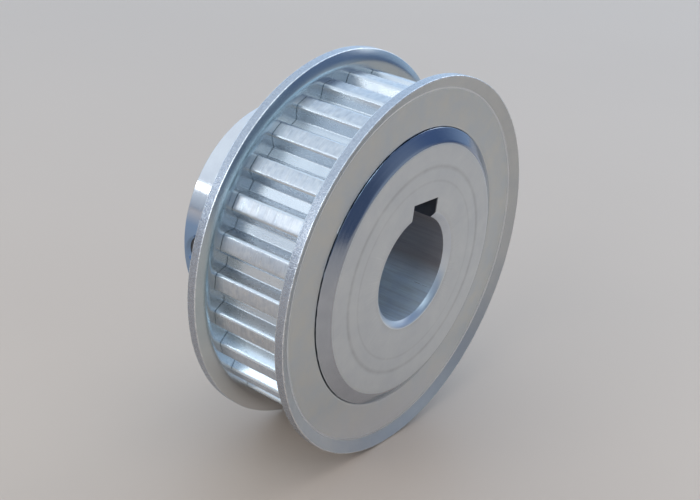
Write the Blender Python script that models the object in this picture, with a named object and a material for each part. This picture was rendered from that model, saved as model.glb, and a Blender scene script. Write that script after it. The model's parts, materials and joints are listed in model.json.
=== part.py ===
"""Timing belt pulley: 28 trapezoidal teeth of XL pitch for a 9.5 mm wide belt.

The pulley's axis is Y. Its front, the plain face with the shoulder, looks towards -Y and
its hub boss points towards +Y. The keyway is at +Z. The origin is on the axis, halfway
along the pulley.

Five pieces make it up: a toothed hub turned and hobbed from one bar, two pressed steel
flanges that the hub's shoulders hold, and two set screws in the hub boss.
"""

import math

import bmesh
import bpy
from mathutils import Matrix, Vector

MM = 0.001

# Belt tooth form: the XL standard's sizes, with crisper fillets than its largest ones.
TEETH = 28
PITCH = 5.08 * MM
PITCH_LINE_OFFSET = 0.254 * MM
GROOVE_DEPTH = 1.65 * MM
GROOVE_FLOOR_WIDTH = 1.32 * MM
GROOVE_FLANK_ANGLE = math.radians(25)
TOOTH_TIP_FILLET = 0.5 * MM
GROOVE_ROOT_FILLET = 0.2 * MM
FILLET_STEPS = 3

# Places along the axis.
HALF_LENGTH = 13.0 * MM
BELT_PLANE_Y = -5.3 * MM
BELT_HALF_WIDTH = 5.5 * MM
CLEARANCE = 0.3 * MM

# Hub.
BORE_RADIUS = 7.0 * MM
BORE_CHAMFER = 0.65 * MM
KEYWAY_WIDTH = 5.0 * MM
KEYWAY_ROOF = 9.3 * MM
SHOULDER_RADIUS = 16.65 * MM
BOSS_RADIUS = 15.0 * MM
BOSS_CHAMFER = 0.4 * MM

# Flanges: a flat steel ring whose rim is bent away from the belt, then trimmed round.
FLANGE_RADIUS = 25.0 * MM
FLANGE_HOLE_RADIUS = 18.4 * MM
FLANGE_THICKNESS = 1.15 * MM
FLANGE_BEND_RADIUS = 1.2 * MM
FLANGE_BEND_START = 23.05 * MM
FLANGE_BEND_ANGLE = math.radians(27)
BEND_STEPS = 3

# Set screws: M5 hexagon socket screws with a cup point, each one turn short of clamping.
SCREW_THREAD_RADIUS = 2.5 * MM
SCREW_PITCH = 0.8 * MM
SCREW_LENGTH = 5.0 * MM
SCREW_CHAMFER = 0.5 * MM
SCREW_SOCKET_ACROSS_FLATS = 2.5 * MM
SCREW_SOCKET_DEPTH = 2.2 * MM
SCREW_CUP_RADIUS = 1.2 * MM
SCREW_CUP_DEPTH = 0.6 * MM
SCREW_HOLE_COUNTERSINK = 0.45 * MM
SCREW_Y = HALF_LENGTH - 3.6 * MM
KEY_SCREW_ANGLE = 0.0
SIDE_SCREW_ANGLE = math.radians(97.5)
KEY_TOP = 9.0 * MM
KEY_SCREW_TIP = KEY_TOP + SCREW_PITCH
SIDE_SCREW_TIP = BORE_RADIUS + SCREW_PITCH

# Facets round the pulley and round a screw. Both counts divide by four, and rings are
# turned by half a facet, so that a facet's middle lies on each of the axes.
PULLEY_SEGMENTS = 84
SCREW_SEGMENTS = 24

TIP_RADIUS = TEETH * PITCH / math.tau - PITCH_LINE_OFFSET
SPIGOT_RADIUS = FLANGE_HOLE_RADIUS - CLEARANCE
SHARP_EDGE_ANGLE = math.radians(28)

# How far a cutter reaches past the face that it cuts through.
CUT_PAST = 1.0 * MM


def clear_scene():
    """Remove every object that is in the scene."""
    for old in list(bpy.data.objects):
        bpy.data.objects.remove(old, do_unlink=True)


def metal(name, colour, roughness):
    """A bare metal surface."""
    material = bpy.data.materials.new(name)
    material.use_nodes = True
    shader = material.node_tree.nodes["Principled BSDF"]
    shader.inputs["Base Color"].default_value = (*colour, 1.0)
    shader.inputs["Metallic"].default_value = 1.0
    shader.inputs["Roughness"].default_value = roughness
    return material


def add_object(name, bm, material=None):
    """Turn a bmesh into a named object with sensible shading."""
    bmesh.ops.recalc_face_normals(bm, faces=bm.faces)
    mesh = bpy.data.meshes.new(name)
    bm.to_mesh(mesh)
    bm.free()
    mesh.shade_smooth()
    mesh.set_sharp_from_angle(angle=SHARP_EDGE_ANGLE)
    obj = bpy.data.objects.new(name, mesh)
    bpy.context.scene.collection.objects.link(obj)
    if material:
        mesh.materials.append(material)
    return obj


def add_tool(name, bm):
    """A construction solid that Boolean modifiers use and nothing else shows."""
    obj = add_object(name, bm)
    obj.display_type = "WIRE"
    obj.hide_render = True
    return obj


def combine(obj, tool, operation):
    """Join a construction solid to an object, or cut it away."""
    modifier = obj.modifiers.new(f"{operation.title()} {tool.name}", "BOOLEAN")
    modifier.operation = operation
    modifier.solver = "EXACT"
    modifier.object = tool


def turned(profile, segments):
    """Spin a profile of (radius, y) points about Y. It is a loop, or starts and ends on Y.

    Radii are stretched to the facets' corners, so the facets' middles lie on the true ones.
    """
    bm = bmesh.new()
    to_corner = 1 / math.cos(math.pi / segments)
    half_facet = Matrix.Rotation(math.pi / segments, 3, "Y")
    verts = [bm.verts.new(half_facet @ Vector((radius * to_corner, y, 0))) for radius, y in profile]
    edges = [bm.edges.new(pair) for pair in zip(verts, verts[1:])]
    if profile[0][0] > 0:
        edges.append(bm.edges.new((verts[-1], verts[0])))
    bmesh.ops.spin(
        bm,
        geom=verts + edges,
        cent=(0, 0, 0),
        axis=(0, 1, 0),
        angle=math.tau,
        steps=segments,
        use_merge=True,
    )
    bmesh.ops.remove_doubles(bm, verts=bm.verts, dist=0.001 * MM)
    return bm


def prism(outline, y_low, y_high):
    """Extrude a closed outline of (x, z) points along Y."""
    bm = bmesh.new()
    face = bm.faces.new([bm.verts.new((x, y_low, z)) for x, z in outline])
    extruded = bmesh.ops.extrude_face_region(bm, geom=[face])["geom"]
    moved = [item for item in extruded if isinstance(item, bmesh.types.BMVert)]
    bmesh.ops.translate(bm, verts=moved, vec=(0, y_high - y_low, 0))
    return bm


def fillet(corner, before, after, radius, steps):
    """Points of an arc that rounds a corner between two neighbouring points."""
    corner, before, after = Vector(corner), Vector(before), Vector(after)
    arm_in = (before - corner).normalized()
    arm_out = (after - corner).normalized()
    half_angle = arm_in.angle(arm_out) / 2
    centre = corner + (arm_in + arm_out).normalized() * (radius / math.sin(half_angle))
    start = corner + arm_in * (radius / math.tan(half_angle)) - centre
    end = corner + arm_out * (radius / math.tan(half_angle)) - centre
    sweep = start.angle_signed(end)
    turns = [Matrix.Rotation(-sweep * step / steps, 2) for step in range(steps + 1)]
    return [centre + turn @ start for turn in turns]


def tooth_outline():
    """The toothed rim in the XZ plane: straight flanks, round tips and round roots.

    One groove is drawn about +Z, half a pitch past a tooth, and turned to every place.
    """
    root_radius = TIP_RADIUS - GROOVE_DEPTH
    half_floor = GROOVE_FLOOR_WIDTH / 2
    half_mouth = half_floor + GROOVE_DEPTH * math.tan(GROOVE_FLANK_ANGLE)
    mouth_height = math.sqrt(TIP_RADIUS**2 - half_mouth**2)
    half_pitch = math.pi / TEETH
    land = (TIP_RADIUS * math.sin(half_pitch), TIP_RADIUS * math.cos(half_pitch))
    mouth = (half_mouth, mouth_height)
    floor = (half_floor, root_radius)
    middle = (0, root_radius)
    right = fillet(floor, middle, mouth, GROOVE_ROOT_FILLET, FILLET_STEPS)
    right += fillet(mouth, floor, land, TOOTH_TIP_FILLET, FILLET_STEPS)
    left = [Vector((-point.x, point.y)) for point in reversed(right)]
    groove = left + right
    outline = []
    for tooth in range(TEETH):
        turn = Matrix.Rotation(-(tooth + 0.5) * math.tau / TEETH, 2)
        outline += [turn @ point for point in groove]
    return outline


def make_toothed_hub(material):
    """Toothed barrel, flange spigots, front shoulder and hub boss, all of one piece."""
    front_cone_y = BELT_PLANE_Y - BELT_HALF_WIDTH - FLANGE_THICKNESS
    rear_cone_y = BELT_PLANE_Y + BELT_HALF_WIDTH + FLANGE_THICKNESS
    rear_shoulder_y = 2 * BELT_PLANE_Y + HALF_LENGTH
    profile = [
        (0, -HALF_LENGTH),
        (SHOULDER_RADIUS, -HALF_LENGTH),
        (SPIGOT_RADIUS, front_cone_y),
        (SPIGOT_RADIUS, rear_cone_y),
        (SHOULDER_RADIUS, rear_shoulder_y),
        (BOSS_RADIUS, rear_shoulder_y),
        (BOSS_RADIUS, HALF_LENGTH - BOSS_CHAMFER),
        (BOSS_RADIUS - BOSS_CHAMFER, HALF_LENGTH),
        (0, HALF_LENGTH),
    ]
    hub = add_object("toothed_hub", turned(profile, PULLEY_SEGMENTS), material)

    barrel_half_width = BELT_HALF_WIDTH - CLEARANCE
    barrel = prism(
        tooth_outline(),
        BELT_PLANE_Y - barrel_half_width,
        BELT_PLANE_Y + barrel_half_width,
    )
    combine(hub, add_tool("toothed_barrel", barrel), "UNION")

    combine(hub, add_tool("bore_cutter", bore_cutter()), "DIFFERENCE")

    half_key = KEYWAY_WIDTH / 2
    keyway = prism(
        [(-half_key, 0), (half_key, 0), (half_key, KEYWAY_ROOF), (-half_key, KEYWAY_ROOF)],
        -HALF_LENGTH - CUT_PAST,
        HALF_LENGTH + CUT_PAST,
    )
    combine(hub, add_tool("keyway_cutter", keyway), "DIFFERENCE")

    for name, angle in (("key", KEY_SCREW_ANGLE), ("side", SIDE_SCREW_ANGLE)):
        hole = add_tool(f"{name}_screw_hole", screw_hole_cutter())
        hole.matrix_world = screw_frame(angle, 0)
        combine(hub, hole, "DIFFERENCE")
    return hub


def bore_cutter():
    """A rod as wide as the bore, whose ends open out into the two chamfers."""
    end = HALF_LENGTH + CUT_PAST
    mouth = BORE_RADIUS + BORE_CHAMFER + CUT_PAST
    straight = HALF_LENGTH - BORE_CHAMFER
    profile = [
        (0, -end),
        (mouth, -end),
        (BORE_RADIUS, -straight),
        (BORE_RADIUS, straight),
        (mouth, end),
        (0, end),
    ]
    return turned(profile, PULLEY_SEGMENTS)


def screw_hole_cutter():
    """A rod from the pulley's axis out past the boss, countersunk where it comes out."""
    straight = BOSS_RADIUS - SCREW_HOLE_COUNTERSINK
    end = BOSS_RADIUS + CUT_PAST
    mouth = SCREW_THREAD_RADIUS + end - straight
    rod = [(0, 0), (SCREW_THREAD_RADIUS, 0), (SCREW_THREAD_RADIUS, straight), (mouth, end), (0, end)]
    return turned(rod, SCREW_SEGMENTS)


def screw_frame(angle, distance):
    """Local Y points out of the hub at an angle from the keyway, seen from the front."""
    turn = Matrix.Rotation(-angle, 4, "Y")
    place = Matrix.Translation((0, SCREW_Y, distance))
    return turn @ place @ Matrix.Rotation(math.pi / 2, 4, "X")


def make_flange(name, side, material):
    """A pressed ring. side is -1 for the front flange and 1 for the rear one."""
    bend_centre = BELT_HALF_WIDTH + FLANGE_THICKNESS + FLANGE_BEND_RADIUS
    belt_side = FLANGE_BEND_RADIUS + FLANGE_THICKNESS
    slope = math.tan(FLANGE_BEND_ANGLE)

    def bend(radius):
        for step in range(BEND_STEPS + 1):
            turn = FLANGE_BEND_ANGLE * step / BEND_STEPS
            yield FLANGE_BEND_START + radius * math.sin(turn), bend_centre - radius * math.cos(turn)

    def rim(last):
        return FLANGE_RADIUS, last[1] + (FLANGE_RADIUS - last[0]) * slope

    belt_face = list(bend(belt_side))
    outer_face = list(bend(FLANGE_BEND_RADIUS))
    profile = [(FLANGE_HOLE_RADIUS, BELT_HALF_WIDTH)]
    profile += belt_face
    profile += [rim(belt_face[-1]), rim(outer_face[-1])]
    profile += reversed(outer_face)
    profile.append((FLANGE_HOLE_RADIUS, BELT_HALF_WIDTH + FLANGE_THICKNESS))
    placed = [(radius, BELT_PLANE_Y + side * along) for radius, along in profile]
    return add_object(name, turned(placed, PULLEY_SEGMENTS), material)


def make_set_screw(name, angle, tip_distance, material):
    """A socket set screw, its point at local Y = 0 and its socket at the outer end."""
    radius = SCREW_THREAD_RADIUS - CLEARANCE
    chamfered = radius - SCREW_CHAMFER
    profile = [
        (0, SCREW_CUP_DEPTH),
        (SCREW_CUP_RADIUS, 0),
        (chamfered, 0),
        (radius, SCREW_CHAMFER),
        (radius, SCREW_LENGTH - SCREW_CHAMFER),
        (chamfered, SCREW_LENGTH),
        (0, SCREW_LENGTH),
    ]
    screw = add_object(name, turned(profile, SCREW_SEGMENTS), material)
    screw.matrix_world = screw_frame(angle, tip_distance)

    corner = SCREW_SOCKET_ACROSS_FLATS / math.sqrt(3)
    turns = [math.tau * side / 6 for side in range(6)]
    hexagon = [(corner * math.cos(turn), corner * math.sin(turn)) for turn in turns]
    socket = prism(hexagon, SCREW_LENGTH - SCREW_SOCKET_DEPTH, SCREW_LENGTH + CUT_PAST)
    cutter = add_tool(f"{name}_socket_cutter", socket)
    cutter.matrix_world = screw.matrix_world
    combine(screw, cutter, "DIFFERENCE")
    return screw


def main():
    clear_scene()
    aluminium = metal("turned_aluminium", (0.62, 0.63, 0.64), 0.32)
    zinc = metal("zinc_plated_steel", (0.52, 0.54, 0.52), 0.38)
    black_steel = metal("black_oxide_steel", (0.05, 0.05, 0.055), 0.45)
    make_toothed_hub(aluminium)
    make_flange("front_flange", -1, zinc)
    make_flange("rear_flange", 1, zinc)
    make_set_screw("key_set_screw", KEY_SCREW_ANGLE, KEY_SCREW_TIP, black_steel)
    make_set_screw("side_set_screw", SIDE_SCREW_ANGLE, SIDE_SCREW_TIP, black_steel)


main()
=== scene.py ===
"""A timing belt pulley: machined aluminium hub, two pressed steel flanges, two set screws.

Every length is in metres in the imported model's frame: the pulley's axis is Y, its front
face looks towards -Y and its keyway is at +Z.
"""

import json
import math

import bmesh
import bpy
from mathutils import Matrix, Vector, noise


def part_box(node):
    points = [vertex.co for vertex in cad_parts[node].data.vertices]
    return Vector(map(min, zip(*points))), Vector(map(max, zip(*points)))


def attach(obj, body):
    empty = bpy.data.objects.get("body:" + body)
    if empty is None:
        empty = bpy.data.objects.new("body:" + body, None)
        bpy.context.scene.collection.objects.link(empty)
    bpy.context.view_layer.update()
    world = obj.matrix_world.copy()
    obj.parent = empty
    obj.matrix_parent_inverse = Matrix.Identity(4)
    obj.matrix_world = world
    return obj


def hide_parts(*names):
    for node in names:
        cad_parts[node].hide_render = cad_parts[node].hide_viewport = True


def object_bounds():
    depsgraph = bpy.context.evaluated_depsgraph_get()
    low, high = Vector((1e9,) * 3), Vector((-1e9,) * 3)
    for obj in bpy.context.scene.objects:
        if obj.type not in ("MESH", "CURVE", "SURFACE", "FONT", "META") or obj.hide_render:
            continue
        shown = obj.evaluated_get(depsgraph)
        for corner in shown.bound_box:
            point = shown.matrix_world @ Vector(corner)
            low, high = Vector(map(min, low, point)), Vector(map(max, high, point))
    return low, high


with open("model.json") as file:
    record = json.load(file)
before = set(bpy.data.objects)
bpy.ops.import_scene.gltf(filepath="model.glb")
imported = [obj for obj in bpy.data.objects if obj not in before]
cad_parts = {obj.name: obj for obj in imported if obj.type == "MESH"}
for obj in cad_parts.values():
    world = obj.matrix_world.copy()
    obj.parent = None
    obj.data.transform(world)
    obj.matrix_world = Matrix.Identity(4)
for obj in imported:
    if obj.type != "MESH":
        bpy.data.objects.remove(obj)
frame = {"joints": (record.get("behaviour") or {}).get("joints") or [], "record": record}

cad_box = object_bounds()

MM = 0.001

# Driving sizes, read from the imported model.
BOX_LOW, BOX_HIGH = (Vector(corner) for corner in cad_box)
FRONT_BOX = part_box("front_flange")
REAR_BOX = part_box("rear_flange")
FRONT_Y = BOX_LOW.y
REAR_Y = BOX_HIGH.y
FLANGE_RADIUS = BOX_HIGH.z
BELT_PLANE_Y = (FRONT_BOX[1][1] + REAR_BOX[0][1]) / 2
BELT_HALF_WIDTH = (REAR_BOX[0][1] - FRONT_BOX[1][1]) / 2

# Belt teeth.
TEETH = 28
PITCH = 5.08 * MM
TIP_RADIUS = TEETH * PITCH / math.tau - 0.254 * MM
GROOVE_DEPTH = 1.65 * MM
GROOVE_FLOOR_WIDTH = 1.32 * MM
GROOVE_FLANK_ANGLE = math.radians(25)
TIP_FILLET = 0.5 * MM
ROOT_FILLET = 0.2 * MM
TOOTH_END_GAP = 0.03 * MM
TOOTH_END_CHAMFER = 0.025 * MM
TOOTH_SECTIONS = 16

# Hub.
BORE_RADIUS = 7.0 * MM
BORE_CHAMFER = 0.65 * MM
KEYWAY_WIDTH = 5.0 * MM
KEYWAY_ROOF = 9.3 * MM
SHOULDER_RADIUS = 16.65 * MM
SHOULDER_ROUNDING = 1.7 * MM
SPIGOT_RADIUS = 18.25 * MM
BOSS_RADIUS = 15.0 * MM
BOSS_CHAMFER = 0.4 * MM
COUNTERSINK = 0.45 * MM
SINK_TOOL_POINT = 0.6 * MM
TOOL_RINGS = (13.7 * MM, 11.85 * MM)
CHAMFER_EDGE = ((0.22 * MM, -0.02 * MM), (0.05 * MM, 0.06 * MM), (-0.12 * MM, 0.17 * MM))
KEYWAY_BURR = 0.08 * MM
SPIGOT_LIP_WANDER = 0.05 * MM

# Flanges.
FLANGE_HOLE_RADIUS = 18.42 * MM
FLANGE_THICKNESS = 1.15 * MM
FLANGE_BEND_RADIUS = 1.2 * MM
FLANGE_BEND_START = 23.05 * MM
FLANGE_BEND_ANGLE = math.radians(27)
RIM_ROLL = 0.15 * MM
BURR_ROUNDING = 0.10 * MM
BURR_REACH = 0.46 * MM
BURR_WANDER = 0.03 * MM
RIM_INSET = 0.04 * MM
BEND_STEPS = 8
# Tilts in degrees of the band of the bend that gets the painted highlight.
BEND_HIGHLIGHT_TILT = (6, 17)

# M5 set screws.
THREAD_PITCH = 0.8 * MM
THREAD_RADIUS = 2.42 * MM
THREAD_DEPTH = 0.43 * MM
THREAD_CLEARANCE = 0.06 * MM
SCREW_LENGTH = 5.0 * MM
SOCKET_ACROSS_FLATS = 2.5 * MM
SOCKET_DEPTH = 2.2 * MM
SOCKET_FLARE = 1.9
SCREW_END_CHAMFER = 0.45 * MM
CUP_RADIUS = 2.1 * MM
CUP_DEPTH = 0.75 * MM
TAP_TURNS_BELOW = 5
TAP_TURNS = 18

SEGMENTS = 336
FILLET_STEPS = 6
PAST = 1.0 * MM


def turned(profile, segments=SEGMENTS):
    """Spin a profile of (radius, y) or (radius, y, burr) points about Y.

    The profile is a loop, or starts and ends on the axis. Burr is how far, in metres,
    that ring wanders in and out, as a sheared or rolled edge does.
    """
    bm = bmesh.new()
    rings = []
    for index, (radius, y, *burr) in enumerate(profile):
        if radius == 0:
            rings.append([bm.verts.new((0, y, 0))] * segments)
            continue
        ring = []
        for step in range(segments):
            turn = math.tau * step / segments
            direction = Vector((math.sin(turn), 0, math.cos(turn)))
            wander = 0
            if burr:
                spot = direction * (radius / MM * 1.7) + Vector((0, index * 3.1, 0))
                wander = burr[0] * (noise.noise(spot) + 0.5 * noise.noise(spot * 2.3))
            shifted = Vector((0, y + wander * 0.4, 0))
            ring.append(bm.verts.new(direction * (radius + wander) + shifted))
        rings.append(ring)
    pairs = list(zip(rings, rings[1:]))
    if profile[0][0] > 0:
        pairs.append((rings[-1], rings[0]))
    for near, far in pairs:
        for step in range(segments):
            after = (step + 1) % segments
            corners = [near[step], far[step], far[after], near[after]]
            bm.faces.new(dict.fromkeys(corners))
    bmesh.ops.recalc_face_normals(bm, faces=bm.faces)
    return bm


def rounded(profile, radius, steps=4):
    """Round the corners of a (radius, y) profile, apart from its two ends."""
    points = [Vector(point) for point in profile]
    result = [points[0]]
    for index in range(1, len(points) - 1):
        corner, before, after = points[index], points[index - 1], points[index + 1]
        reach = min((before - corner).length, (after - corner).length) * 0.45
        result += fillet(corner, before, after, radius, steps, reach)
    result.append(points[-1])
    return [tuple(point) for point in result]


def fillet(corner, before, after, radius, steps, reach=1.0):
    """Points of an arc that rounds a corner between two neighbouring points."""
    corner, before, after = Vector(corner), Vector(before), Vector(after)
    arm_in = (before - corner).normalized()
    arm_out = (after - corner).normalized()
    half_angle = arm_in.angle(arm_out) / 2
    radius = min(radius, reach * math.tan(half_angle))
    centre = corner + (arm_in + arm_out).normalized() * (radius / math.sin(half_angle))
    start = corner + arm_in * (radius / math.tan(half_angle)) - centre
    end = corner + arm_out * (radius / math.tan(half_angle)) - centre
    sweep = start.angle_signed(end)
    turns = [Matrix.Rotation(-sweep * step / steps, 2) for step in range(steps + 1)]
    return [centre + turn @ start for turn in turns]


def loft(sections):
    """A closed solid through outlines of (x, z) points, each at its own y."""
    bm = bmesh.new()
    rings = [[bm.verts.new((x, y, z)) for x, z in outline] for y, outline in sections]
    count = len(rings[0])
    for near, far in zip(rings, rings[1:]):
        for index in range(count):
            after = (index + 1) % count
            bm.faces.new((near[index], far[index], far[after], near[after]))
    bm.faces.new(rings[0])
    bm.faces.new(reversed(rings[-1]))
    bmesh.ops.recalc_face_normals(bm, faces=bm.faces)
    return bm


def new_object(name, bm):
    mesh = bpy.data.meshes.new(name)
    bm.to_mesh(mesh)
    bm.free()
    obj = bpy.data.objects.new(name, mesh)
    bpy.context.scene.collection.objects.link(obj)
    return obj


def tooth_outline(along, inset=0.0):
    """The toothed rim in the XZ plane, optionally pulled in by a small chamfer.

    The hob and the deburring brush leave each tip fillet a little uneven along the tooth.
    """
    tip = TIP_RADIUS - inset
    root = TIP_RADIUS - GROOVE_DEPTH - inset
    half_floor = GROOVE_FLOOR_WIDTH / 2 + inset * 0.6
    half_mouth = half_floor + GROOVE_DEPTH * math.tan(GROOVE_FLANK_ANGLE)
    mouth = (half_mouth, math.sqrt(tip**2 - half_mouth**2))
    floor = (half_floor, root)
    half_pitch = math.pi / TEETH
    land = (tip * math.sin(half_pitch), tip * math.cos(half_pitch))

    def half(place):
        wear = noise.noise(Vector((place * 7.7, along / MM * 1.3, 0))) * 0.22
        points = fillet(floor, (0, root), mouth, ROOT_FILLET, FILLET_STEPS)
        points += fillet(mouth, floor, land, TIP_FILLET * (1 + wear), FILLET_STEPS)
        mouth_turn = math.atan2(points[-1].x, points[-1].y)
        for step in (1, 2):
            turn = mouth_turn + (half_pitch - mouth_turn) * step / 2.5
            points.append(Vector((tip * math.sin(turn), tip * math.cos(turn))))
        return points

    outline = []
    for tooth in range(TEETH):
        turn = Matrix.Rotation(-(tooth + 0.5) * math.tau / TEETH, 2)
        left = [Vector((-point.x, point.y)) for point in reversed(half(tooth))]
        outline += [tuple(turn @ point) for point in left + half(tooth + 0.5)]
    return outline


def combine(obj, tool, operation):
    """Apply an exact Boolean and remove the tool."""
    modifier = obj.modifiers.new(operation, "BOOLEAN")
    modifier.operation = operation
    modifier.solver = "EXACT"
    modifier.object = tool
    apply_modifiers(obj)
    bpy.data.objects.remove(tool, do_unlink=True)


def apply_modifiers(obj):
    graph = bpy.context.evaluated_depsgraph_get()
    mesh = bpy.data.meshes.new_from_object(obj.evaluated_get(graph))
    obj.modifiers.clear()
    obj.data = mesh


def threaded_rod(length, radius, end_chamfer):
    """An M5 screw thread along Y from y = 0, whose helix starts at the point."""
    sides = 40
    rows_per_turn = 8
    rows = round(length / THREAD_PITCH * rows_per_turn)
    bm = bmesh.new()
    rings = []
    for row in range(rows + 1):
        along = length * row / rows
        limit = radius - max(0.0, end_chamfer - along, end_chamfer - (length - along))
        ring = []
        for side in range(sides):
            turn = math.tau * side / sides
            phase = (along / THREAD_PITCH - turn / math.tau) % 1.0
            groove = min(1.0, max(0.0, 1.25 - 2.6 * abs(phase - 0.5)))
            here = min(radius - THREAD_DEPTH * (1 - groove), limit)
            ring.append(bm.verts.new((here * math.sin(turn), along, here * math.cos(turn))))
        rings.append(ring)
    for near, far in zip(rings, rings[1:]):
        for side in range(sides):
            after = (side + 1) % sides
            bm.faces.new((near[side], far[side], far[after], near[after]))
    bm.faces.new(rings[0])
    bm.faces.new(reversed(rings[-1]))
    bmesh.ops.recalc_face_normals(bm, faces=bm.faces)
    return bm


def finish_shading(obj, angle):
    mesh = obj.data
    mesh.shade_smooth()
    mesh.set_sharp_from_angle(angle=math.radians(angle))
    modifier = obj.modifiers.new("Even shading", "WEIGHTED_NORMAL")
    modifier.keep_sharp = True
    modifier.weight = 100


# --- Materials ---------------------------------------------------------------------------


class Nodes:
    """A small helper that adds and links shader nodes."""

    def __init__(self, owner, shader="Principled BSDF"):
        owner.use_nodes = True
        self.tree = owner.node_tree
        self.shader = self.tree.nodes[shader]

    def add(self, kind, *inputs, output=0, **settings):
        node = self.tree.nodes.new(kind)
        for name, value in settings.items():
            setattr(node, name, value)
        for index, value in enumerate(inputs):
            self.connect(value, node.inputs[index])
        return node.outputs[output]

    def connect(self, value, socket):
        if value is None:
            return
        if isinstance(value, bpy.types.NodeSocket):
            self.tree.links.new(value, socket)
        elif socket.type == "RGBA":
            socket.default_value = (*value, 1.0)
        else:
            socket.default_value = value

    def math(self, operation, *inputs):
        return self.add("ShaderNodeMath", *inputs, operation=operation)

    def noise(self, vector, scale, detail=2.0, roughness=0.5):
        node = self.tree.nodes.new("ShaderNodeTexNoise")
        self.connect(vector, node.inputs["Vector"])
        node.inputs["Scale"].default_value = scale
        node.inputs["Detail"].default_value = detail
        node.inputs["Roughness"].default_value = roughness
        return node.outputs["Fac"]

    def fit(self, value, low, high, new_low, new_high):
        node = self.tree.nodes.new("ShaderNodeMapRange")
        self.connect(value, node.inputs["Value"])
        limits = zip(("From Min", "From Max", "To Min", "To Max"), (low, high, new_low, new_high))
        for name, limit in limits:
            node.inputs[name].default_value = limit
        return node.outputs["Result"]

    def blend(self, factor, first, second):
        node = self.tree.nodes.new("ShaderNodeMix")
        node.data_type = "RGBA"
        self.connect(factor, node.inputs["Factor"])
        # A colour Mix node has its colour sockets last, after those for numbers and vectors.
        first_socket, second_socket = (socket for socket in node.inputs if socket.type == "RGBA")
        self.connect(first, first_socket)
        self.connect(second, second_socket)
        return next(socket for socket in node.outputs if socket.type == "RGBA")

    def bump(self, height, depth):
        """Depth is the height of a bump of value 1, in metres."""
        node = self.tree.nodes.new("ShaderNodeBump")
        node.inputs["Strength"].default_value = 1.0
        node.inputs["Distance"].default_value = depth
        self.connect(height, node.inputs["Height"])
        return node.outputs["Normal"]

    def place(self):
        """Object coordinates in millimetres, and their distance and direction from Y."""
        position = self.add("ShaderNodeTexCoord", output=3)
        scaled = self.add("ShaderNodeVectorMath", position, None, None, 1 / MM, operation="SCALE")
        split = self.tree.nodes.new("ShaderNodeSeparateXYZ")
        self.connect(scaled, split.inputs[0])
        x, y, z = split.outputs
        squares = self.math("ADD", self.math("MULTIPLY", x, x), self.math("MULTIPLY", z, z))
        radius = self.math("SQRT", self.math("MAXIMUM", squares, 0.0001))
        return scaled, y, radius, self.math("DIVIDE", x, radius), self.math("DIVIDE", z, radius)


# Dark tone: grime along some tool-mark streaks, and painted shade along the face's tool rings.
GRIME_AND_PAINTED_SHADE = (0.12, 0.12, 0.13)
DENT_SOFTNESS = 0.12
MINIMUM_ROUGHNESS = 0.05


def metal(
    name,
    colours,
    roughness,
    spread=0.06,
    clouds=0.35,
    marks=(),
    grain=(),
    rings=(),
    dents=(),
    painted_light=(),
    metallic=1.0,
):
    """Bare metal: clouded colour and gloss, tool marks, grain, tool rings and small dents.

    clouds and grain count noise cells per millimetre. Each tool mark layer gives its cells
    per millimetre along the axis and along the radius, its cells per radian round the axis,
    its depth in micrometres, how far it changes the gloss and, if it holds grime, how far
    that darkens it. A ring is painted shade along a tool ring: a radius, a half width and how
    dark it is. Dents are a cell count, the noise level that they start at and a depth. Painted
    light is a painted highlight, shade or reflection by height: the height at which the colour
    starts to turn into another, the height at which it has done so, and that colour.
    """
    material = bpy.data.materials.new(name)
    nodes = Nodes(material)
    shader = nodes.shader
    shader.inputs["Metallic"].default_value = metallic
    position, y, radius, sine, cosine = nodes.place()
    mottle = nodes.noise(position, clouds, detail=4.0, roughness=0.6)
    colour = nodes.blend(nodes.fit(mottle, 0.32, 0.68, 0.0, 1.0), *colours)
    rough = nodes.fit(mottle, 0.25, 0.75, roughness - spread / 2, roughness + spread / 2)
    height = None
    # Painted light by height: the colour turns into a painted highlight, shade or reflection
    # colour.
    for start, end, painted_colour in painted_light:
        level = nodes.math("MULTIPLY", radius, cosine)
        colour = nodes.blend(nodes.fit(level, start, end, 0.0, 1.0), colour, painted_colour)

    def raise_by(factor, depth):
        extra = nodes.math("MULTIPLY", factor, depth)
        return nodes.math("ADD", height, extra) if height else extra

    for along, across, around, depth, gloss, *tone in marks:
        by_length = nodes.math("MULTIPLY", y, along)
        line = nodes.math("ADD", by_length, nodes.math("MULTIPLY", radius, across))
        vector = nodes.add(
            "ShaderNodeCombineXYZ",
            line,
            nodes.math("MULTIPLY", sine, around),
            nodes.math("MULTIPLY", cosine, around),
        )
        streaks = nodes.noise(vector, 1.0, detail=3.0, roughness=0.6)
        rough = nodes.math("ADD", rough, nodes.fit(streaks, 0.3, 0.7, -gloss, gloss))
        height = raise_by(streaks, depth)
        if tone:
            colour = nodes.blend(nodes.fit(streaks, 0.42, 0.66, 0.0, tone[0]), colour, GRIME_AND_PAINTED_SHADE)
    for cells, depth in grain:
        height = raise_by(nodes.noise(position, cells, detail=2.0), depth)
    for cells, flat, depth in dents:
        bumps = nodes.noise(position, cells, detail=2.0)
        hollow = nodes.fit(bumps, flat, flat + DENT_SOFTNESS, 0.0, 1.0)
        height = raise_by(hollow, -depth)
    # Painted shade along each tool-ring groove, patchy with the clouding.
    for ring, half_width, dark in rings:
        away = nodes.math("ABSOLUTE", nodes.math("SUBTRACT", radius, ring))
        darkness = nodes.fit(away, 0.0, half_width, dark, 0.0)
        patchy = nodes.fit(mottle, 0.3, 0.6, 0.5, 1.0)
        colour = nodes.blend(nodes.math("MULTIPLY", darkness, patchy), colour, GRIME_AND_PAINTED_SHADE)
    nodes.connect(colour, shader.inputs["Base Color"])
    nodes.connect(nodes.math("MAXIMUM", rough, MINIMUM_ROUGHNESS), shader.inputs["Roughness"])
    if height:
        nodes.connect(nodes.bump(height, 1e-6), shader.inputs["Normal"])
    return material
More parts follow.
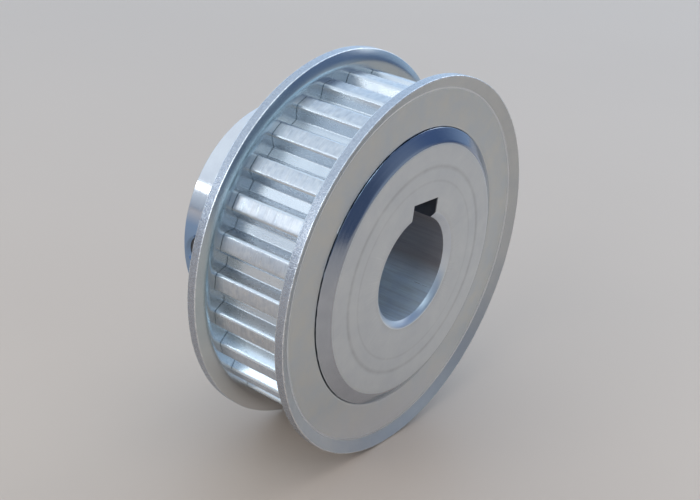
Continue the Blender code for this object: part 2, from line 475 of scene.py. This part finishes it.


# Base colours. A pair is the two ends of a metal's clouding, and a single one is painted
# light: the colour that a metal fades into by height, as a painted highlight, shade or
# reflection.
BOSS = ((0.68, 0.68, 0.70), (0.63, 0.63, 0.66))
CONE = ((0.53, 0.57, 0.63), (0.47, 0.51, 0.57))
LAND = ((0.64, 0.66, 0.69), (0.49, 0.53, 0.59))
HOBBED = ((0.66, 0.70, 0.74), (0.60, 0.64, 0.69))
FACED = ((0.74, 0.79, 0.82), (0.69, 0.74, 0.78))
ZINC = ((0.68, 0.705, 0.69), (0.62, 0.68, 0.72))
ZINC_BRIGHT = ((0.58, 0.66, 0.69), (0.53, 0.61, 0.66))
# A slightly darker copy of the zinc plate: painted shade on the flanges' lips.
LIP_PAINTED_SHADE = ((0.63, 0.66, 0.67), (0.58, 0.62, 0.65))
# A brighter, bluer copy of the zinc plate: painted highlight along the start of the flanges'
# bends.
BEND_HIGHLIGHT = ((0.74, 0.80, 0.85), (0.66, 0.73, 0.79))
# The bore's metal colour, made bright and blue as a painted reflection of the bright backdrop on
# the lower wall.
BORE_METAL_AND_SKY_TINT = ((0.76, 0.90, 1.0), (0.66, 0.80, 0.96))
# Painted shade on the upper bore wall.
PAINTED_BORE_SHADE = (0.36, 0.33, 0.33)
# Painted shade on the lower part of the turned boss.
PAINTED_BOSS_SHADE = (0.28, 0.41, 0.62)
SHADED_CONE = (0.38, 0.45, 0.56)
# Painted light on the lower part of the flanges.
PAINTED_LOW_ZINC_LIGHT = (0.85, 0.88, 0.91)
# Painted light on the lower hobbed grooves.
PAINTED_LOW_GROOVE_LIGHT = (0.80, 0.91, 1.0)
# Painted light on the lower tooth lands.
PAINTED_LOW_LAND_LIGHT = (0.72, 0.80, 0.92)
# Painted highlight on the lower part of the bore chamfer.
PAINTED_CHAMFER_HIGHLIGHT = (0.90, 0.97, 1.0)
# Painted shade in the keyway slot.
PAINTED_KEYWAY_SHADE = ((0.26, 0.27, 0.30), (0.18, 0.19, 0.21))
FRACTURED = ((0.47, 0.50, 0.56), (0.35, 0.38, 0.44))
CHAMFER = ((0.74, 0.80, 0.88), (0.66, 0.73, 0.82))
OXIDE = ((0.045, 0.045, 0.05), (0.03, 0.03, 0.032))
# Painted shade in the tapped holes.
PAINTED_HOLE_SHADE = ((0.16, 0.17, 0.19), (0.09, 0.09, 0.10))
RAISED_BURR = ((0.86, 0.90, 0.94), (0.60, 0.64, 0.68))

# The fine marks that pressing leaves on the flanges' bends, in the order of metal()'s marks.
PRESS_MARKS = ((0, 3.0, 2.0, 0.6, 0.02),)

MATERIALS = {
    "faced": metal(
        "faced_aluminium",
        FACED,
        0.36,
        marks=((0, 7.0, 1.2, 3.0, 0.03), (0, 1.3, 0.8, 2.0, 0.03)),
        # Painted shade along the two tool rings and round the face's inner edge at 8 mm.
        rings=(
            (TOOL_RINGS[0] / MM, 0.42, 0.22),
            (TOOL_RINGS[1] / MM, 0.25, 0.10),
            (8.0, 0.5, 0.08),
        ),
        dents=((1.1, 0.70, 8.0),),
    ),
    "cone": metal(
        "shoulder_cone",
        CONE,
        0.15,
        marks=((0, 8.0, 1.5, 3.0, 0.04),),
        painted_light=((2.0, 11.0, SHADED_CONE),),
    ),
    "boss": metal(
        "turned_boss",
        BOSS,
        0.12,
        marks=((7.0, 0, 1.0, 2.0, 0.04),),
        # Painted shade: the boss turns darker and bluer from a little above its middle downwards.
        painted_light=((4.0, 1.5, PAINTED_BOSS_SHADE),),
    ),
    "land": metal(
        "tooth_lands",
        LAND,
        0.34,
        clouds=1.3,
        marks=((6.0, 0, 8.0, 9.0, 0.08, 0.16), (1.2, 0, 10.0, 4.0, 0.05)),
        dents=((1.6, 0.72, 8.0),),
        # Painted light: the lower lands turn paler and bluer.
        painted_light=((-5.0, -14.0, PAINTED_LOW_LAND_LIGHT),),
    ),
    "hobbed": metal(
        "hobbed_grooves",
        HOBBED,
        0.27,
        marks=((0.25, 0, 60.0, 0.3, 0.02),),
        # Painted light: the lower grooves turn paler and bluer.
        painted_light=((-1.0, -13.0, PAINTED_LOW_GROOVE_LIGHT),),
    ),
    "bore": metal(
        "bore_wall",
        BORE_METAL_AND_SKY_TINT,
        0.38,
        clouds=0.5,
        marks=((0.12, 0, 16.0, 6.0, 0.08, 0.22), (0.25, 0, 70.0, 2.0, 0.05, 0.08)),
        # Painted shade: the bore wall turns dark brownish grey from a little below the axis
        # upwards.
        painted_light=((-4.5, -1.5, PAINTED_BORE_SHADE),),
        metallic=0.5,
    ),
    "chamfer": metal(
        "bore_chamfer",
        CHAMFER,
        0.33,
        marks=((0, 6.0, 1.5, 1.0, 0.03),),
        # Painted highlight: the lower part of the chamfer turns almost white and blue.
        painted_light=((1.0, -3.0, PAINTED_CHAMFER_HIGHLIGHT),),
    ),
    # Painted shade: the keyway's metal is painted nearly black.
    "keyway": metal("broached_keyway", PAINTED_KEYWAY_SHADE, 0.34, grain=((2.5, 3.0),)),
    # Painted shade: the tapped holes' threads are painted nearly black.
    "thread": metal("tapped_thread", PAINTED_HOLE_SHADE, 0.32, grain=((4.0, 4.0),)),
    "zinc": metal(
        "zinc_plate",
        ZINC,
        0.34,
        clouds=0.28,
        marks=((0, 1.6, 3.0, 0.8, 0.02),),
        grain=((0.5, 2.0),),
        dents=((0.9, 0.72, 8.0),),
        # Painted light: the flange's outer face turns paler towards the bottom.
        painted_light=((-15.0, -24.0, PAINTED_LOW_ZINC_LIGHT),),
    ),
    "zinc_bright": metal(
        "bright_zinc_plate",
        ZINC_BRIGHT,
        0.22,
        clouds=0.28,
        marks=PRESS_MARKS,
        # Painted light: the flange's belt side turns paler towards the bottom.
        painted_light=((-6.0, -20.0, PAINTED_LOW_ZINC_LIGHT),),
    ),
    # Painted shade: a slightly darker copy of the plate on the lip beyond the bend highlight.
    "zinc_lip": metal("zinc_lip_painted_shade", LIP_PAINTED_SHADE, 0.34, clouds=0.28, marks=PRESS_MARKS),
    # Painted highlight: a smoother, brighter copy of the plate on the first part of the bend.
    "bend_highlight": metal("painted_bend_highlight", BEND_HIGHLIGHT, 0.16, clouds=0.28, marks=PRESS_MARKS),
    "sheared": metal(
        "sheared_edge",
        FRACTURED,
        0.26,
        clouds=3.5,
        marks=((2.5, 2.5, 180.0, 30.0, 0.10), (5.0, 5.0, 60.0, 14.0, 0.05)),
    ),
    "burr": metal(
        "sheared_burr",
        RAISED_BURR,
        0.20,
        clouds=1.4,
        marks=((3.0, 3.0, 240.0, 34.0, 0.1), (1.0, 1.0, 60.0, 20.0, 0.1)),
    ),
    "oxide": metal("black_oxide", OXIDE, 0.32, grain=((4.0, 4.0),)),
}


def paint(obj, names, choose):
    """Give each face the material that choose(centre, normal) names."""
    for name in names:
        obj.data.materials.append(MATERIALS[name])
    for face in obj.data.polygons:
        face.material_index = names.index(choose(face.center, face.normal))


# --- Hub ---------------------------------------------------------------------------------


def screw_places():
    """Each set screw's node, body, direction out of the hub, and distance of its point."""
    places = []
    for joint in frame["joints"]:
        outward = Vector(joint["axis"]).normalized()
        body = joint["child"]
        node = frame["record"]["behaviour"]["bodies"][body][0]
        low, high = (Vector(corner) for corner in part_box(node))
        middle = (low + high) / 2
        tip = middle - outward * (SCREW_LENGTH / 2)
        places.append((node, body, outward, tip))
    return places


def aim(outward, place):
    """A matrix that puts local Y along a direction, at a place."""
    side = outward.cross(Vector((0, 1, 0))).normalized()
    turn = Matrix((side, outward, side.cross(outward))).transposed().to_4x4()
    return Matrix.Translation(place) @ turn


def hub_profile():
    cone_front = BELT_PLANE_Y - BELT_HALF_WIDTH - FLANGE_THICKNESS - 0.06 * MM
    cone_rear = 2 * BELT_PLANE_Y - cone_front
    rear_shoulder = 2 * BELT_PLANE_Y - FRONT_Y
    lip = SPIGOT_LIP_WANDER
    front = [(0, FRONT_Y)]
    widths = (0.2 * MM, 0.3 * MM)
    depths = (0.01 * MM, 0.03 * MM)
    for ring, half_width, depth in zip(sorted(TOOL_RINGS), widths, depths):
        front += [
            (ring - half_width, FRONT_Y),
            (ring, FRONT_Y + depth),
            (ring + half_width, FRONT_Y),
        ]
    shoulder = rounded(
        [
            (TOOL_RINGS[0] + 0.5 * MM, FRONT_Y),
            (SHOULDER_RADIUS, FRONT_Y),
            (SPIGOT_RADIUS + 0.06 * MM, cone_front - 0.10 * MM),
        ],
        SHOULDER_ROUNDING,
        steps=10,
    )
    edge = [
        (SPIGOT_RADIUS + 0.12 * MM, cone_front - 0.04 * MM, lip),
        (SPIGOT_RADIUS + 0.11 * MM, cone_front + 0.06 * MM, lip),
        (SPIGOT_RADIUS, cone_front + 0.16 * MM),
        (SPIGOT_RADIUS, cone_rear - 0.16 * MM),
        (SPIGOT_RADIUS + 0.11 * MM, cone_rear - 0.06 * MM, lip),
        (SPIGOT_RADIUS + 0.12 * MM, cone_rear + 0.04 * MM, lip),
    ]
    back = rounded(
        [
            (SPIGOT_RADIUS + 0.06 * MM, cone_rear + 0.10 * MM),
            (SHOULDER_RADIUS, rear_shoulder),
            (BOSS_RADIUS, rear_shoulder),
            (BOSS_RADIUS, REAR_Y - BOSS_CHAMFER),
            (BOSS_RADIUS - BOSS_CHAMFER, REAR_Y),
            (0, REAR_Y),
        ],
        0.1 * MM,
    )
    return front + shoulder + edge + back


def barrel_sections():
    """Outlines of the toothed barrel from its front end to its rear end."""
    end = BELT_HALF_WIDTH - TOOTH_END_GAP
    plain = end - TOOTH_END_CHAMFER
    places = [plain * (2 * step / TOOTH_SECTIONS - 1) for step in range(TOOTH_SECTIONS + 1)]
    sections = [(place, tooth_outline(place)) for place in places]
    sections.insert(0, (-end, tooth_outline(-end, TOOTH_END_CHAMFER)))
    sections.append((end, tooth_outline(end, TOOTH_END_CHAMFER)))
    return [(BELT_PLANE_Y + place, outline) for place, outline in sections]


def make_hub():
    hub = new_object("machined_hub", turned(hub_profile()))
    combine(hub, new_object("barrel", loft(barrel_sections())), "UNION")

    mouth = BORE_RADIUS + BORE_CHAMFER
    bore = [(0, FRONT_Y - PAST), (mouth + PAST, FRONT_Y - PAST)]
    bore += [(mouth + wider, FRONT_Y + deeper) for wider, deeper in CHAMFER_EDGE]
    bore += [
        (BORE_RADIUS, FRONT_Y + BORE_CHAMFER),
        (BORE_RADIUS, REAR_Y - BORE_CHAMFER),
        (mouth + PAST, REAR_Y + PAST),
        (0, REAR_Y + PAST),
    ]
    combine(hub, new_object("bore_tool", turned(bore)), "DIFFERENCE")

    def key_outline(grow):
        half = KEYWAY_WIDTH / 2 + grow
        return [(-half, 0), (half, 0), (half, KEYWAY_ROOF + grow), (-half, KEYWAY_ROOF + grow)]

    sections = [
        (FRONT_Y - PAST, key_outline(KEYWAY_BURR + PAST)),
        (FRONT_Y + KEYWAY_BURR, key_outline(0)),
        (REAR_Y - KEYWAY_BURR, key_outline(0)),
        (REAR_Y + PAST, key_outline(KEYWAY_BURR + PAST)),
    ]
    combine(hub, new_object("keyway_tool", loft(sections)), "DIFFERENCE")

    axes = [(outward, tip) for *_, outward, tip in screw_places()]
    for outward, tip in axes:
        # The hole's thread is the screw's own, a little larger. It starts whole turns below
        # the screw's point, so that the two mesh.
        start = tip - outward * (TAP_TURNS_BELOW * THREAD_PITCH)
        reach = TAP_TURNS * THREAD_PITCH
        tool = new_object("tap", threaded_rod(reach, THREAD_RADIUS + THREAD_CLEARANCE, 0))
        tool.matrix_world = aim(outward, start)
        combine(hub, tool, "DIFFERENCE")
        # The tool's cone is as wide as the hole at its y = 0, and its point ends in the hole.
        cone = [
            (0, -SINK_TOOL_POINT),
            (THREAD_RADIUS - SINK_TOOL_POINT, -SINK_TOOL_POINT),
            (THREAD_RADIUS + PAST, PAST),
            (0, PAST),
        ]
        sink = new_object("countersink", turned(cone, 96))
        on_boss = tip - outward * (tip.dot(outward) - BOSS_RADIUS + COUNTERSINK)
        sink.matrix_world = aim(outward, on_boss)
        combine(hub, sink, "DIFFERENCE")
    # A hole's line goes on past the bore, where the hub's far side is not threaded.
    threaded_below_tip = 4.5 * MM
    slack = 0.02 * MM
    square_to_axis = 0.97

    def choose(centre, normal):
        radius = math.hypot(centre.x, centre.z)
        for outward, tip in axes:
            offset = centre - tip
            near = offset.cross(outward).length < THREAD_RADIUS + 0.1 * MM
            if near and BORE_RADIUS + slack < radius < BOSS_RADIUS - slack:
                if offset.dot(outward) > -threaded_below_tip:
                    return "thread"
        if abs(normal.y) > square_to_axis:
            return "faced"
        if radius < BORE_RADIUS + slack:
            return "bore"
        if radius < BORE_RADIUS + BORE_CHAMFER + 0.3 * MM and abs(normal.y) > 0.3:
            return "chamfer"
        if radius < 10 * MM:
            return "keyway"
        if abs(centre.y - BELT_PLANE_Y) < BELT_HALF_WIDTH and radius > SPIGOT_RADIUS + 1 * MM:
            outward_part = (normal.x * centre.x + normal.z * centre.z) / radius
            on_tip = outward_part > 0.97 and radius > TIP_RADIUS - 0.3 * MM
            return "land" if on_tip else "hobbed"
        if radius < BOSS_RADIUS + 0.05 * MM:
            return "boss"
        return "cone"

    names = ["faced", "cone", "boss", "land", "hobbed", "bore", "chamfer", "keyway", "thread"]
    paint(hub, names, choose)
    finish_shading(hub, 28)
    return hub


# --- Flanges -----------------------------------------------------------------------------


def make_flange(name, side):
    """A pressed ring whose rim bends away from the belt. side is -1 in front."""
    bend_centre = BELT_HALF_WIDTH + FLANGE_THICKNESS + FLANGE_BEND_RADIUS

    def bend(radius):
        for step in range(BEND_STEPS + 1):
            turn = FLANGE_BEND_ANGLE * step / BEND_STEPS
            across = FLANGE_BEND_START + radius * math.sin(turn)
            yield across, bend_centre - radius * math.cos(turn)

    slope = math.tan(FLANGE_BEND_ANGLE)
    edge = FLANGE_RADIUS - RIM_INSET

    def lip(last, radius):
        return radius, last[1] + (radius - last[0]) * slope

    belt_face = list(bend(FLANGE_BEND_RADIUS + FLANGE_THICKNESS))
    outer_face = list(bend(FLANGE_BEND_RADIUS))
    # The rim is sheared: a rounded corner on the belt side and a small burr on the other.
    corner = lip(belt_face[-1], edge)
    last = lip(outer_face[-1], edge)
    rim = rounded([belt_face[-1], corner, last], RIM_ROLL, 4)[1:-1]
    crown = rounded([corner, last, outer_face[-1]], BURR_ROUNDING, 5)[1:-1]
    rim += [(radius, y, BURR_WANDER) for radius, y in crown]
    hole = rounded(
        [
            (FLANGE_HOLE_RADIUS + 1 * MM, BELT_HALF_WIDTH + FLANGE_THICKNESS),
            (FLANGE_HOLE_RADIUS, BELT_HALF_WIDTH + FLANGE_THICKNESS),
            (FLANGE_HOLE_RADIUS, BELT_HALF_WIDTH),
            (FLANGE_HOLE_RADIUS + 1 * MM, BELT_HALF_WIDTH),
        ],
        0.12 * MM,
    )
    profile = belt_face + rim + list(reversed(outer_face)) + hole
    placed = [(radius, BELT_PLANE_Y + side * y, *burr) for radius, y, *burr in profile]
    flange = new_object(name, turned(placed))

    def choose(centre, normal):
        radius = math.hypot(centre.x, centre.z)
        outward_part = (normal.x * centre.x + normal.z * centre.z) / radius
        reach = (centre.y - BELT_PLANE_Y) * side
        if radius > edge - BURR_REACH and reach > last[1] - BURR_REACH:
            return "burr"
        if radius > edge - RIM_ROLL and reach < corner[1] + RIM_ROLL * 0.6:
            return "burr"
        if radius > edge - 0.02 * MM and outward_part > 0.9:
            return "sheared"
        outer = normal.y * side
        if outer < 0:
            return "zinc_bright"
        tilt = math.degrees(math.acos(min(outer, 1.0)))
        if tilt < BEND_HIGHLIGHT_TILT[0]:
            return "zinc"
        # Painted highlight on the bend between the two tilts; beyond them the lip gets a darker
        # copy of the plate, painted shade.
        return "bend_highlight" if tilt < BEND_HIGHLIGHT_TILT[1] else "zinc_lip"

    paint(flange, ["zinc", "bend_highlight", "zinc_lip", "zinc_bright", "sheared", "burr"], choose)
    finish_shading(flange, 40)
    return flange


# --- Set screws --------------------------------------------------------------------------


def make_screw(name, outward, tip):
    """A socket set screw with its cup point at tip and its socket facing outward."""
    screw = new_object(name, threaded_rod(SCREW_LENGTH, THREAD_RADIUS, SCREW_END_CHAMFER))
    corner = SOCKET_ACROSS_FLATS / math.sqrt(3)
    turns = [math.tau * step / 6 for step in range(6)]
    hexagon = [(corner * math.cos(turn), corner * math.sin(turn)) for turn in turns]
    flare = [(x * SOCKET_FLARE, z * SOCKET_FLARE) for x, z in hexagon]
    sections = [
        (SCREW_LENGTH - SOCKET_DEPTH, hexagon),
        (SCREW_LENGTH - 0.12 * MM, hexagon),
        (SCREW_LENGTH + PAST, flare),
    ]
    combine(screw, new_object("socket_tool", loft(sections)), "DIFFERENCE")
    cup = [(0, -PAST), (CUP_RADIUS, -PAST), (0, CUP_DEPTH)]
    combine(screw, new_object("cup_tool", turned(cup, 48)), "DIFFERENCE")
    paint(screw, ["oxide"], lambda centre, normal: "oxide")
    screw.matrix_world = aim(outward, tip)
    finish_shading(screw, 35)
    return screw


# --- Floor, light and camera -------------------------------------------------------------


FLOOR_HALF_WIDTH = 2.0
FLOOR_COLOURS = ((0.50, 0.41, 0.34), (0.54, 0.445, 0.37))


def make_floor():
    bm = bmesh.new()
    bmesh.ops.create_grid(bm, x_segments=1, y_segments=1, size=FLOOR_HALF_WIDTH)
    floor = new_object("floor", bm)
    floor.location.z = BOX_LOW.z
    material = bpy.data.materials.new("pale_floor")
    nodes = Nodes(material)
    position = nodes.add("ShaderNodeTexCoord", output=3)
    cloud = nodes.noise(position, 9.0, detail=4.0)
    colour = nodes.blend(cloud, *FLOOR_COLOURS)
    nodes.connect(colour, nodes.shader.inputs["Base Color"])
    nodes.shader.inputs["Roughness"].default_value = 0.45
    floor.data.materials.append(material)


def direction(azimuth, elevation):
    """Azimuth 0 is the front, -Y, and grows towards +X."""
    azimuth, elevation = math.radians(azimuth), math.radians(elevation)
    flat = math.cos(elevation)
    return Vector((math.sin(azimuth) * flat, -math.cos(azimuth) * flat, math.sin(elevation)))


def softbox(name, azimuth, elevation, distance, width, height, power, colour):
    """An area light that looks at the pulley from a direction."""
    light = bpy.data.lights.new(name, "AREA")
    light.shape = "RECTANGLE"
    light.size = width
    light.size_y = height
    light.energy = power
    light.color = colour
    obj = bpy.data.objects.new(name, light)
    away = direction(azimuth, elevation)
    obj.location = away * distance
    obj.rotation_euler = away.to_track_quat("Z", "Y").to_euler()
    bpy.context.scene.collection.objects.link(obj)


# Each glow in the studio's backdrop: azimuth, elevation, the cosines at which it starts and
# is full, and its colour. Later ones lie over earlier ones.
BACKDROP = (0.08, 0.11, 0.18)
GLOWS = (
    (0, 90, 0.74, 0.98, (0.66, 0.65, 0.67)),
    (64, 35, 0.70, 0.97, (0.10, 0.16, 0.30)),
    (150, 25, 0.15, 0.75, (0.82, 1.05, 1.32)),
    (-75, 25, 0.30, 0.95, (0.36, 0.44, 0.55)),
    (-153, 47, 0.50, 0.94, (0.94, 1.07, 1.20)),
    (35, 2, 0.93, 0.985, (0.36, 0.40, 0.46)),
)


def make_world():
    """A dark blue room with soft glows overhead and on every side."""
    world = bpy.data.worlds.new("studio")
    bpy.context.scene.world = world
    nodes = Nodes(world, "Background")
    toward = nodes.add("ShaderNodeTexCoord", output=0)
    colour = BACKDROP
    for azimuth, elevation, low, high, glow_colour in GLOWS:
        centre = tuple(direction(azimuth, elevation))
        closeness = nodes.add(
            "ShaderNodeVectorMath", toward, centre, operation="DOT_PRODUCT", output=1
        )
        colour = nodes.blend(nodes.fit(closeness, low, high, 0.0, 1.0), colour, glow_colour)
    nodes.connect(colour, nodes.shader.inputs["Color"])


def make_lights():
    make_world()
    softbox("window_gap", -132, 17, 0.8, 0.06, 0.07, 0.08, (0.94, 0.98, 1.0))
    softbox("front_window", 0, 38, 0.8, 0.36, 0.24, 0.34, (0.70, 0.88, 1.0))
    softbox("left_window", -95, 24, 0.8, 0.60, 0.35, 2.3, (1.0, 0.98, 0.95))
    softbox("right_window", 82, 32, 0.9, 0.60, 0.40, 1.1, (1.0, 0.98, 0.96))
    softbox("ceiling", -25, 68, 1.2, 1.4, 1.1, 2.5, (1.0, 0.96, 0.90))


CAMERA_PLACE = Vector((-115.99, -83.26, 59.70)) * MM
CAMERA_TARGET = Vector((-1.33, BELT_PLANE_Y / MM + 1.72, -0.17)) * MM
CAMERA_ROLL = math.radians(7.55)
CAMERA_LENS = 60.76


def make_camera():
    """A close view from the pulley's upper left front, rolled a little."""
    camera = bpy.data.cameras.new("camera")
    camera.sensor_width = 36.0
    camera.lens = CAMERA_LENS
    camera.clip_start = 0.005
    obj = bpy.data.objects.new("camera", camera)
    look = (CAMERA_TARGET - CAMERA_PLACE).to_track_quat("-Z", "Y").to_matrix().to_4x4()
    tilted = look @ Matrix.Rotation(CAMERA_ROLL, 4, "Z")
    obj.matrix_world = Matrix.Translation(CAMERA_PLACE) @ tilted
    bpy.context.scene.collection.objects.link(obj)
    bpy.context.scene.camera = obj


def main():
    hub = make_hub()
    front = make_flange("pressed_front_flange", -1)
    rear = make_flange("pressed_rear_flange", 1)
    for piece, node in ((hub, "toothed_hub"), (front, "front_flange"), (rear, "rear_flange")):
        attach(piece, "pulley")
        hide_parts(node)
    for node, body, outward, tip in screw_places():
        screw = make_screw(node.replace("set_screw", "grub_screw"), outward, tip)
        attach(screw, body)
        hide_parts(node)
    make_floor()
    make_lights()
    make_camera()
    bpy.context.scene.view_settings.view_transform = "Standard"


main()
